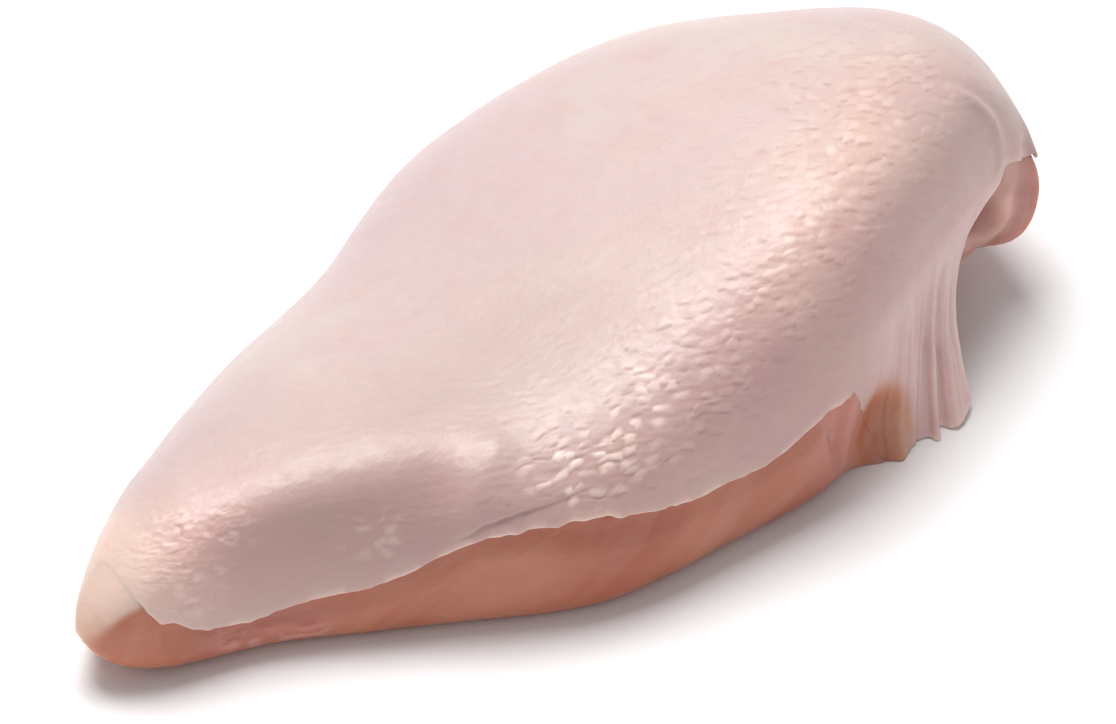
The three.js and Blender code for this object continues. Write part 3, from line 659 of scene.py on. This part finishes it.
    # marks for the material
    pocket = pocket_amount(p0) * (ring < 0.6)
    marks = {
        "relief": clamp(0.5 + (bumps + wrinkles) / 0.3, 0, 1),
        # painted shade: the creases below the plates, darkened in the colour
        "crease_shade": clamp(crease * amount * 2.4 + 0.8 * tip_crease, 0, 1),
        # pale free edges: partly the thin skin's own paler tone, partly painted light showing through the thin edge
        "edge_paleness_and_glow": np.exp(-free / 1.1) * (1 - meets) * (0.35 + 0.65 * smooth(-0.35, 0.35, noise(a / 5.0, 0.3, 97))),
        "gold": clamp(1.1 * blob(p0, (69.0, -74, 6.5), (5.0, 14, 11)), 0, 1),
        # painted highlight: glints on the follicle plates and the tip streaks
        "plate_highlight": clamp(plate * smooth(0.35, 0.75, own) * (1.1 * sparkle + 0.75 * band * patch + 0.5 * cluster) * calm
                        + tip * facing * smooth(0.15, 0.95, streak) * (0.4 + 0.9 * patch), 0, 1),
        "pocket": pocket,
        # painted shade: weight of the redder, more mauve tone painted on the near side
        "side": (1 - smooth(0.25, 0.95, ring)) * mix(0.45, 1.0, smooth(-112, -84, x)),
        # painted light: the near side by the tip painted a lighter pink, where the lamp reaches it less
        "tip_painted_light": clamp(1.2 * blob(p0, (-115, -34, 34), (29, 16, 14)), 0, 1),
        # painted shade: mauve-grey painted on the shoulder's slope past the top
        "grey": near_line(p0, [(97, -38, 79), (107, -33, 80), (116, -35, 76)], 12.0),
        "cool": smooth(0.92, 1.35, ring) * (ring < 2.0),
        # peach band along the near crest: partly the skin's tone, partly painted light on the lit top as it turns down
        "crest_peach_and_light": near_line(p0, [(97, -30, 83), (77, -44, 81), (62, -54, 77), (46, -60, 73), (30, -64, 67), (15, -68, 60)], 13.0) * (0.65 + 0.35 * patch),
        "shaded": near_line(p0, SHADED, 25.0),
        # painted shade: the soft hollow on the near side, painted darker and redder
        "hollow": near_line(p0, HOLLOW, 15.0),
        "pale": clamp(1.2 * blob(p0, (-141, -17, 30), (14, 20, 14)), 0, 1),
        "nose": nose_amount(p0, (-142, -122)),
        "creamy": smooth(16, 27, z),
        # the curtain mark also carries painted light in the colour
        "curtain": on_curtain,
        "under": np.zeros(s.shape),
    }
    full = {}
    for key, v in marks.items():
        v = np.broadcast_to(v, s.shape)
        border = v[li, lj]
        inn = v[np.ix_(ci, cj)].copy()
        if key == "under":
            inn = np.ones_like(inn)
        full[key] = np.concatenate([v.ravel(), *([border] * (RIM - 1)), inn.ravel()])
    return make_piece("skin_skin", points + SHIFT, np.concatenate(Q), np.array(T), np.concatenate(UVQ), np.array(UVT), full)


BORDER_FLIP = False
# ------------------------------------------------------------------ flesh
FS, FA, FB, FC = 400, 84, 66, 84      # stations; exposed, covered and under steps


def flesh_piece():
    # stations evenly spaced along the surface, also where the ends close
    t = np.linspace(0, 1, 1601)
    sd = 1e-6 + (1 - 2e-6) * (0.5 - 0.5 * np.cos(math.pi * t))
    probe = flesh_face(sd[:, None], np.array([-0.2, 0.1, 0.4, 0.8, 1.2, 1.8, 2.6, 3.2])[None, :])
    step = np.sqrt((np.linalg.norm(np.diff(probe, axis=0), axis=-1) ** 2).mean(-1))
    c = np.concatenate([[0], np.cumsum(step)])
    s1 = np.interp(np.linspace(0, c[-1], FS + 1), c, sd)
    S = s1[:, None]
    f = lambda r: flesh_face(S, np.where(r > 3.5, r - 4, r))
    near = ring_at(np.minimum(s1, CURTAIN_B), edge_height(np.minimum(s1, CURTAIN_B)))
    near = np.minimum(near, 0.98) + 0.03
    one = lambda p, r: np.ones(r.shape)
    full = lambda v: np.full(FS + 1, float(v))
    shown = even_rings(f, near, full(-0.5), FA, one)                    # bare strip down to the foot
    top = even_rings(f, full(SKIN_FAR), near, FB, one)                  # under the skin
    below = even_rings(f, full(3.5), full(SKIN_FAR), FC, one)           # the flat base and far foot
    ring = np.concatenate([top[:, :-1], shown[:, :-1], below[:, :-1]], axis=1)
    s = np.broadcast_to(S, ring.shape)
    base = f(ring)
    n = grid_normals(base, wrap=True)
    p0 = base + SHIFT
    x, y, z = p0[..., 0], p0[..., 1], p0[..., 2]
    edge = np.minimum.reduce([edge_height(np.minimum(s + d, CURTAIN_B)) for d in (0, 0.012, 0.024, 0.036)])
    low = np.where(ring <= 1, smooth(edge - 10, edge, z), np.where(ring <= SKIN_FAR, 1.0, 1 - smooth(SKIN_FAR, 2.45, ring)))
    low = np.where(ring >= 2.5, 0.0, low)
    depth = skin_depth(s, np.minimum(ring, SKIN_FAR), z) + GAP
    corner = 0.6 * smooth(0.965, 0.985, s) * (1 - smooth(1, 1.3, ring))
    bare = (1 - smooth(0.27, 0.36, ring)) * smooth(4, 8, (s - skin_end(ring)) * LENGTH)
    apart = (depth + corner) * low * (1 - bare) * smooth(SKIN_START - 0.013, SKIN_START, s)
    joined = (depth + corner) * smooth(1.25, 2.4, inside_skin(s, np.where(ring > 3.5, ring - 4, ring), z) / grown_reach(s))
    grown = meets_flesh(s, np.where(ring > 3.5, ring - 4, ring), 0.014) * np.where(ring > 3.5, 1.0, 1 - smooth(1.6, 2.0, ring))
    inset = mix(apart, joined, grown)
    inset = inset + dimple(base, SOCKET) + 0.2 * dimple(base, POCKET) * (1 - grown)
    broad = shared_relief(p0)

    db = np.linalg.norm(np.diff(np.concatenate([base, base[:, :1]], axis=1), axis=1), axis=-1)
    b = np.cumsum(db, axis=1)
    bx = x
    # long muscle fibres: fine grooves that run along the breast, wandering a little
    warp = b + 3.0 * layered(bx / 26, b / 26, 101, 2)
    quiet = (1 - 0.97 * grown) * (1 - 0.6 * smooth(0.93, 0.97, s))
    fibres = (0.035 * noise(bx / 24, warp / 1.5, 103) + 0.05 * noise(bx / 34, warp / 3.2, 104) + 0.02 * noise(bx / 12, warp / 0.8, 105)) * quiet
    lumps = 0.24 * layered(bx / 17, b / 13, 107, 2) * quiet
    # thin films that cling to the bare flesh, with low torn edges
    film = layered(bx / 26 + 3, warp / 10, 111, 3)
    film_edge = smooth(0.05, 0.14, film) * 0.07 * quiet
    shred = near_line(p0, [(-119, -36, 8.5), (-112, -38, 6), (-105, -40, 5.5), (-98, -43, 6)], 3.4) * smooth(-0.25, 0.30, noise(bx / 3.4, z / 1.7, 115) + 0.5 * noise(bx / 1.5, z / 0.9, 116))
    step_in = 0.7 * near_line(p0, [(-120, -36, 6), (-113, -39, 8), (-106, -41, 10), (-100, -43, 8)], 2.4) + 0.35 * shred
    lip = 2.2 * near_line(p0, LIP, 4.2) - 1.8 * blob(p0, (122, -40, 29), (5.5, 9, 6.0))
    tear = -0.5 * near_line(p0, [(-141, -25, 24), (-134, -31, 17), (-124, -35, 13)], 1.6)
    shown_here = (ring < 1) | (ring > 3.5)
    disp = broad - inset + (fibres + lumps + film_edge) * np.where(ring >= 2.5, 1.0, 1.0) + (step_in + lip + tear) * shown_here
    # the base is cut flat: its relief only goes inward, and it fades at the foot
    flat = (ring >= 2.5) & (ring <= 3.5)
    under = np.minimum(0.0, 1.6 * fibres + 0.9 * lumps - 0.25) * smooth(2.5, 2.56, ring) * (1 - smooth(3.44, 3.5, ring))
    disp = disp * smooth(0.0, 2.5, z)
    # towards the two ends the relief and the normals close evenly on one point
    size = ending(s1)[0]
    for rows, at in ((size < 0.2) & (s1 < 0.5), np.argmax(size >= 0.2)), ((size < 0.2) & (s1 > 0.5), FS - np.argmax(size[::-1] >= 0.2)):
        own = smooth(0.0, 0.2, size[rows])[:, None]
        pole = n[at].mean(0) / np.linalg.norm(n[at].mean(0))
        turned = mix(pole, n[rows], own[..., None])
        n[rows] = turned / np.maximum(np.linalg.norm(turned, axis=-1, keepdims=True), 1e-9)
        disp[rows] = mix(disp[at].mean(), disp[rows], own)
    cut = np.where(flat, 1.0, 0.0) * smooth(0.55, 0.95, size)[:, None]
    pts = base + n * (disp * (1 - cut))[..., None]
    pts[..., 2] = np.maximum(pts[..., 2] - under * cut, 0)
    ends = [pts[0].mean(0), pts[-1].mean(0)]

    per = ring.shape[1]
    P = np.arange((FS + 1) * per).reshape(FS + 1, per)
    nxt = np.roll(np.arange(per), -1)
    Q = np.stack([P[:-1, :], P[:-1][:, nxt], P[1:][:, nxt], P[1:, :]], -1).reshape(-1, 4)
    gu = np.broadcast_to(0.015 + 0.97 * np.arange(FS + 1)[:, None] / FS, (FS + 1, per + 1))
    gv = np.broadcast_to(0.015 + 0.97 * np.arange(per + 1)[None, :] / per, (FS + 1, per + 1))
    G = np.stack([gu, gv], -1)
    UVQ = np.stack([G[:-1, :-1], G[:-1, 1:], G[1:, 1:], G[1:, :-1]], -2).reshape(-1, 4, 2)
    a0, a1 = len(P.ravel()), len(P.ravel()) + 1
    T = np.concatenate([np.stack([P[0][nxt], P[0], np.full(per, a0)], -1), np.stack([P[-1], P[-1][nxt], np.full(per, a1)], -1)])
    g0, g1 = G[0], G[-1]
    c0, c1 = (g0[:-1] + g0[1:]) / 2 - np.array([0.006, 0]), (g1[:-1] + g1[1:]) / 2 + np.array([0.006, 0])
    UVT = np.concatenate([np.stack([g0[1:], g0[:-1], c0], -2), np.stack([g1[:-1], g1[1:], c1], -2)])
    if FLESH_FLIP:
        Q, UVQ, T, UVT = Q[:, ::-1], UVQ[:, ::-1], T[:, ::-1], UVT[:, ::-1]
    points = np.concatenate([pts.reshape(-1, 3), np.array(ends)])
    marks = {
        "fibre": clamp(0.5 + (fibres + 0.5 * lumps) * 1.8, 0, 1),
        "film": smooth(0.0, 0.25, film),
        "pocket": pocket_amount(p0),
        "nose": nose_amount(p0, (-141, -131)),
        "creamy": smooth(16, 27, z),
        "lobe": smooth(0.93, 0.965, s),
        "lip": clamp(1.2 * near_line(p0, LIP, 1.9), 0, 1),
        # painted shade: the socket hollow is painted dark
        "socket": clamp(1.15 * near_line(p0, [(116, -40, 21), (121, -40, 26), (124, -40, 33)], 4.6), 0, 1),
        "shred": shred,
        "rosy": clamp(blob(p0, (46, -78, 20), (13, 14, 14)) + 0.8 * near_line(p0, [(-122, -37, 9), (-110, -40, 10), (-98, -44, 10)], 7.0), 0, 1),
        "under": np.where(flat, 1.0, 1 - smooth(0.0, 2.0, z)),
        "covered": low,
        # painted reflection: the flesh paler towards the table, for the light thrown up off it
        "foot": 1 - smooth(0.0, 9.0, z),
    }
    full_marks = {key: np.concatenate([np.broadcast_to(v, s.shape).ravel(), [np.mean(v[0]) if np.ndim(v) else v, np.mean(v[-1]) if np.ndim(v) else v]])
                  for key, v in marks.items()}
    return make_piece("meat_flesh", points + SHIFT, Q, T, UVQ, UVT, full_marks)


FLESH_FLIP = True

# ------------------------------------------------------------------ materials
def lin(r, g, b):
    f = lambda c: c / 255 / 12.92 if c / 255 <= 0.04045 else ((c / 255 + 0.055) / 1.055) ** 2.4
    return (f(r), f(g), f(b), 1.0)


class Nodes:
    """Small helper for building a node tree."""

    def __init__(self, name):
        self.mat = bpy.data.materials.new(name)
        self.mat.use_nodes = True
        self.nt = self.mat.node_tree
        self.nt.nodes.clear()
        self.out = self.nt.nodes.new("ShaderNodeOutputMaterial")
        self.bsdf = self.nt.nodes.new("ShaderNodeBsdfPrincipled")
        self.nt.links.new(self.bsdf.outputs[0], self.out.inputs[0])
        self.coord = self.nt.nodes.new("ShaderNodeTexCoord").outputs["Object"]

    def put(self, socket, value):
        if isinstance(value, bpy.types.NodeSocket):
            self.nt.links.new(value, socket)
        else:
            socket.default_value = value

    def node(self, kind, inputs, out=0, **props):
        n = self.nt.nodes.new(kind)
        for key, v in props.items():
            setattr(n, key, v)
        for key, v in inputs.items():
            self.put(n.inputs[key], v)
        return n.outputs[out]

    def attr(self, name):
        return self.node("ShaderNodeAttribute", {}, "Fac", attribute_name=name)

    def math(self, op, a, b=0.0, c=0.0, clamp_it=False):
        n = self.nt.nodes.new("ShaderNodeMath")
        n.operation, n.use_clamp = op, clamp_it
        for i, v in enumerate((a, b, c)):
            self.put(n.inputs[i], v)
        return n.outputs[0]

    def scaled(self, sx, sy, sz, rot=(0, 0, 0)):
        return self.node("ShaderNodeMapping", {"Vector": self.coord, "Scale": (sx, sy, sz), "Rotation": rot}, "Vector")

    def noise(self, scale, detail=3.0, rough=0.5, distortion=0.0, vector=None):
        return self.node("ShaderNodeTexNoise", {"Vector": vector or self.coord, "Scale": scale, "Detail": detail,
                                                 "Roughness": rough, "Distortion": distortion}, "Fac")

    def ramp(self, fac, stops, interp="EASE"):
        n = self.nt.nodes.new("ShaderNodeValToRGB")
        n.color_ramp.interpolation = interp
        els = n.color_ramp.elements
        while len(els) < len(stops):
            els.new(0.5)
        for e, (pos, col) in zip(els, stops):
            e.position, e.color = pos, col
        self.put(n.inputs[0], fac)
        return n.outputs[0]

    def blend(self, fac, a, b, mode="MIX"):
        n = self.nt.nodes.new("ShaderNodeMix")
        n.data_type, n.blend_type, n.clamp_factor = "RGBA", mode, True
        for i, v in ((0, fac), (6, a), (7, b)):
            self.put(n.inputs[i], v)
        return n.outputs[2]

    def span(self, v, a, b, c=0.0, d=1.0):
        return self.node("ShaderNodeMapRange", {"Value": v, "From Min": a, "From Max": b, "To Min": c, "To Max": d}, 0, clamp=True, interpolation_type="SMOOTHSTEP")

    def bump(self, height, strength, distance, normal=None):
        ins = {"Height": height, "Strength": strength, "Distance": distance}
        if normal is not None:
            ins["Normal"] = normal
        return self.node("ShaderNodeBump", ins, "Normal")


def grey(v):
    return (v, v, v, 1.0)


def skin_material():
    m = Nodes("raw_skin")
    cream, pink, mauve, blush = lin(208, 190, 179), lin(203, 180, 174), lin(197, 177, 177), lin(202, 165, 156)
    large = m.noise(16.0, 3.0, 0.5, 0.4)
    mid = m.noise(70.0, 4.0, 0.55, 0.6)
    fine = m.noise(420.0, 3.0, 0.6)
    col = m.ramp(large, [(0.30, cream), (0.50, pink), (0.72, mauve)])
    col = m.blend(m.math("MULTIPLY", m.attr("cool"), 0.55), col, m.ramp(large, [(0.35, lin(198, 183, 183)), (0.65, lin(200, 178, 182))]))
    # peach band along the near crest: partly the skin's tone, partly painted light on the lit top as it turns down
    col = m.blend(m.math("MULTIPLY", m.attr("crest_peach_and_light"), 0.75), col, lin(216, 177, 165))
    # painted shade: the near side is painted redder and a little more mauve, the tone it takes in shade
    side = m.ramp(m.noise(24.0, 3.0, 0.5, 0.5), [(0.35, lin(212, 173, 165)), (0.68, lin(207, 164, 163))])
    col = m.blend(m.math("MULTIPLY", m.attr("side"), 0.92), col, side)
    # painted light: the near side by the tip painted a lighter pink, where the lamp reaches it less
    col = m.blend(m.math("MULTIPLY", m.attr("tip_painted_light"), 0.88), col, lin(244, 195, 188))
    # painted shade: mauve-grey painted on the shoulder's slope past the top
    col = m.blend(m.math("MULTIPLY", m.attr("grey"), 0.75), col, lin(186, 158, 155))
    # painted shade: the greyer, darker stretch of the near slope
    col = m.blend(m.math("MULTIPLY", m.attr("shaded"), 0.75), col, lin(186, 164, 157))
    # painted shade: the soft hollow on the near side, painted darker and redder
    col = m.blend(m.math("MULTIPLY", m.attr("hollow"), 0.70), col, lin(193, 155, 150))
    col = m.blend(m.math("MULTIPLY", m.span(mid, 0.45, 0.72), 0.25), col, blush)
    col = m.blend(m.math("MULTIPLY", m.span(m.noise(38.0, 2.0, 0.5, 0.8, m.scaled(1, 1, 1)), 0.50, 0.75), 0.20), col, cream)
    # faint threads under the skin
    vein = m.node("ShaderNodeTexNoise", {"Vector": m.scaled(1, 1.6, 1, (0, 0, 0.6)), "Scale": 26.0, "Detail": 4.0, "Roughness": 0.5, "Distortion": 0.8}, "Fac")
    vline = m.math("SUBTRACT", 1.0, m.span(m.math("ABSOLUTE", m.math("SUBTRACT", vein, 0.5)), 0.0, 0.03))
    col = m.blend(m.math("MULTIPLY", vline, 0.06), col, lin(190, 150, 156))
    # painted shade: the creases below the plates, darkened in the colour
    col = m.blend(m.math("MULTIPLY", m.attr("crease_shade"), 0.36), col, lin(160, 118, 112))
    # painted shade: the low parts of the plates and wrinkles are painted darker
    relief = m.attr("relief")
    col = m.blend(m.span(relief, 0.45, 0.15, 0.0, 0.30), col, lin(190, 145, 136))
    # painted highlight: glints on the follicle plates and the tip streaks
    col = m.blend(m.math("MULTIPLY", m.attr("plate_highlight"), 0.80), col, lin(246, 222, 212))
    # painted light: the hanging curtain is painted lighter than the near side, in pale vertical streaks
    col = m.blend(m.math("MULTIPLY", m.attr("curtain"), 0.80), col, m.ramp(m.noise(90.0, 3.0, 0.5, 0.5, m.scaled(1, 1, 0.25)), [(0.35, lin(236, 206, 202)), (0.65, lin(226, 190, 190))]))
    # pale free edges: partly the thin skin's own paler tone, partly painted light showing through the thin edge
    col = m.blend(m.math("MULTIPLY", m.attr("edge_paleness_and_glow"), 0.75), col, lin(244, 216, 204))
    col = m.blend(m.math("MULTIPLY", m.attr("pale"), 0.85), col, lin(236, 206, 191))
    col = m.blend(m.span(m.attr("nose"), 0.05, 0.95, 0.0, 0.95), col, m.blend(m.attr("creamy"), lin(234, 192, 168), lin(228, 200, 187)))
    pk = m.attr("pocket")
    col = m.blend(m.span(pk, 0.12, 0.75), col, m.ramp(pk, [(0.2, lin(212, 156, 138)), (0.6, lin(204, 136, 104)), (1.0, lin(192, 114, 85))]))
    col = m.blend(m.math("MULTIPLY", m.attr("gold"), 0.6), col, lin(208, 164, 136))
    col = m.blend(m.math("MULTIPLY", m.attr("under"), 0.8), col, lin(236, 214, 190))
    col = m.blend(m.span(fine, 0.35, 0.65, 0.0, 0.10), col, lin(205, 168, 158))
    m.put(m.bsdf.inputs["Base Color"], col)
    rough = m.span(m.noise(190.0, 3.0, 0.6), 0.3, 0.7, 0.36, 0.52)
    rough = m.math("SUBTRACT", rough, m.math("MULTIPLY", pk, 0.12))
    m.put(m.bsdf.inputs["Roughness"], rough)
    m.bsdf.inputs["IOR"].default_value = 1.42
    m.bsdf.inputs["Specular IOR Level"].default_value = 0.5
    m.bsdf.subsurface_method = "RANDOM_WALK"
    m.bsdf.inputs["Subsurface Weight"].default_value = 0.35
    m.bsdf.inputs["Subsurface Radius"].default_value = (1.0, 0.55, 0.42)
    m.bsdf.inputs["Subsurface Scale"].default_value = 0.0016
    m.bsdf.inputs["Coat Weight"].default_value = 0.18
    m.bsdf.inputs["Coat Roughness"].default_value = 0.28
    pores = m.node("ShaderNodeTexVoronoi", {"Vector": m.coord, "Scale": 900.0, "Randomness": 1.0}, "Distance", feature="F1")
    n1 = m.bump(m.noise(520.0, 4.0, 0.6), 0.35, 0.00035)
    n2 = m.bump(pores, 0.18, 0.00018, n1)
    n3 = m.bump(m.noise(150.0, 2.0, 0.5, 0.5, m.scaled(1, 1, 2.2)), 0.25, 0.0006, n2)
    m.put(m.bsdf.inputs["Normal"], n3)
    return m.mat


def flesh_material():
    m = Nodes("raw_flesh")
    base, deep, pale = lin(193, 117, 90), lin(180, 97, 70), lin(210, 146, 124)
    large = m.noise(22.0, 2.0, 0.5, 0.3)
    streak = m.noise(150.0, 4.0, 0.55, 0.4, m.scaled(0.12, 1, 1))
    col = m.ramp(large, [(0.3, deep), (0.52, base), (0.78, lin(200, 128, 106))])
    col = m.blend(m.span(streak, 0.40, 0.72, 0.0, 0.12), col, pale)
    col = m.blend(m.span(m.attr("fibre"), 0.50, 0.1, 0.0, 0.14), col, lin(162, 84, 66))
    col = m.blend(m.math("MULTIPLY", m.attr("film"), 0.09), col, lin(218, 170, 152))
    col = m.blend(m.math("MULTIPLY", m.attr("shred"), 0.55), col, lin(226, 176, 168))
    # painted reflection: the flesh paler towards the table, for the light thrown up off it
    col = m.blend(m.span(m.attr("foot"), 0.2, 1.0, 0.0, 0.30), col, lin(200, 140, 118))
    col = m.blend(m.math("MULTIPLY", m.attr("rosy"), 0.6), col, lin(200, 128, 120))
    col = m.blend(m.span(m.attr("lobe"), 0.0, 1.0, 0.0, 0.9), col, m.ramp(m.noise(60.0, 3.0, 0.5), [(0.35, lin(204, 146, 136)), (0.7, lin(222, 172, 164))]))
    col = m.blend(m.span(m.attr("nose"), 0.05, 0.95, 0.0, 0.95), col, m.blend(m.attr("creamy"), lin(234, 192, 168), lin(228, 200, 187)))
    # painted shade: the socket hollow is painted dark
    col = m.blend(m.math("MULTIPLY", m.attr("socket"), 0.9), col, lin(146, 84, 76))
    col = m.blend(m.math("MULTIPLY", m.attr("lip"), 0.65), col, lin(240, 196, 182))
    pk = m.attr("pocket")
    col = m.blend(m.span(pk, 0.12, 0.75), col, m.ramp(pk, [(0.2, lin(206, 136, 122)), (0.6, lin(203, 132, 102)), (1.0, lin(192, 114, 85))]))
    flat = m.ramp(m.noise(120.0, 5.0, 0.6, 0.4, m.scaled(0.15, 1, 1)), [(0.3, lin(190, 118, 104)), (0.55, lin(214, 150, 134)), (0.8, lin(230, 184, 170))])
    col = m.blend(m.math("MULTIPLY", m.attr("under"), 0.85), col, flat)
    m.put(m.bsdf.inputs["Base Color"], col)
    m.put(m.bsdf.inputs["Roughness"], m.math("ADD", m.span(m.noise(160.0, 3.0, 0.6), 0.3, 0.7, 0.28, 0.46), m.math("MULTIPLY", m.attr("nose"), 0.06)))
    m.bsdf.inputs["IOR"].default_value = 1.40
    m.bsdf.subsurface_method = "RANDOM_WALK"
    m.put(m.bsdf.inputs["Subsurface Weight"], m.span(m.attr("nose"), 0.0, 1.0, 0.55, 0.35))
    m.bsdf.inputs["Subsurface Radius"].default_value = (1.0, 0.42, 0.25)
    m.bsdf.inputs["Subsurface Scale"].default_value = 0.0045
    m.put(m.bsdf.inputs["Coat Weight"], m.span(m.attr("nose"), 0.0, 1.0, 0.30, 0.18))
    m.bsdf.inputs["Coat Roughness"].default_value = 0.22
    n1 = m.bump(m.noise(380.0, 4.0, 0.6, 0.3, m.scaled(0.16, 1, 1)), 0.4, 0.0005)
    n2 = m.bump(m.noise(700.0, 2.0, 0.5), 0.15, 0.0002, n1)
    m.put(m.bsdf.inputs["Normal"], n2)
    return m.mat


skin = skin_piece()
flesh = flesh_piece()
skin.data.materials.append(skin_material())
flesh.data.materials.append(flesh_material())
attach(skin, "root"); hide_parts("skin")
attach(flesh, "root"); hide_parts("meat")

# ------------------------------------------------------------------ table and light
floor_mesh = bpy.data.meshes.new("floor")
floor_mesh.from_pydata([(-8, -8, 0), (8, -8, 0), (8, 8, 0), (-8, 8, 0)], [], [(0, 1, 2, 3)])
floor = bpy.data.objects.new("floor", floor_mesh)
bpy.context.scene.collection.objects.link(floor)
fm = Nodes("floor_white")
fm.put(fm.bsdf.inputs["Base Color"], fm.ramp(fm.noise(3.0, 2.0), [(0.0, grey(0.925)), (1.0, grey(0.935))]))
fm.bsdf.inputs["Roughness"].default_value = 0.65
fm.bsdf.inputs["Specular IOR Level"].default_value = 0.2
floor.data.materials.append(fm.mat)

world = bpy.data.worlds.new("studio")
world.use_nodes = True
world.node_tree.nodes["Background"].inputs[0].default_value = (0.965, 0.985, 1.0, 1.0)
world.node_tree.nodes["Background"].inputs[1].default_value = 0.415
bpy.context.scene.world = world


def area(name, where, size, power, colour=(1, 1, 1), target=(0, 0, 0.03)):
    d = bpy.data.lights.new(name, "AREA")
    d.shape, d.size, d.size_y, d.energy, d.color = "RECTANGLE", size[0], size[1], power, colour
    o = bpy.data.objects.new(name, d)
    bpy.context.scene.collection.objects.link(o)
    o.location = where
    o.rotation_euler = (Vector(where) - Vector(target)).to_track_quat("Z", "Y").to_euler()
    return o


area("key", (0.03, 0.33, 1.25), (0.8, 0.75), 19.0, (1.0, 0.99, 0.985))

bpy.context.scene.view_settings.view_transform = "Standard"
bpy.context.scene.view_settings.look = "None"
bpy.context.scene.view_settings.exposure = 0.0
bpy.context.scene.view_settings.gamma = 1.0

bpy.context.view_layer.update()
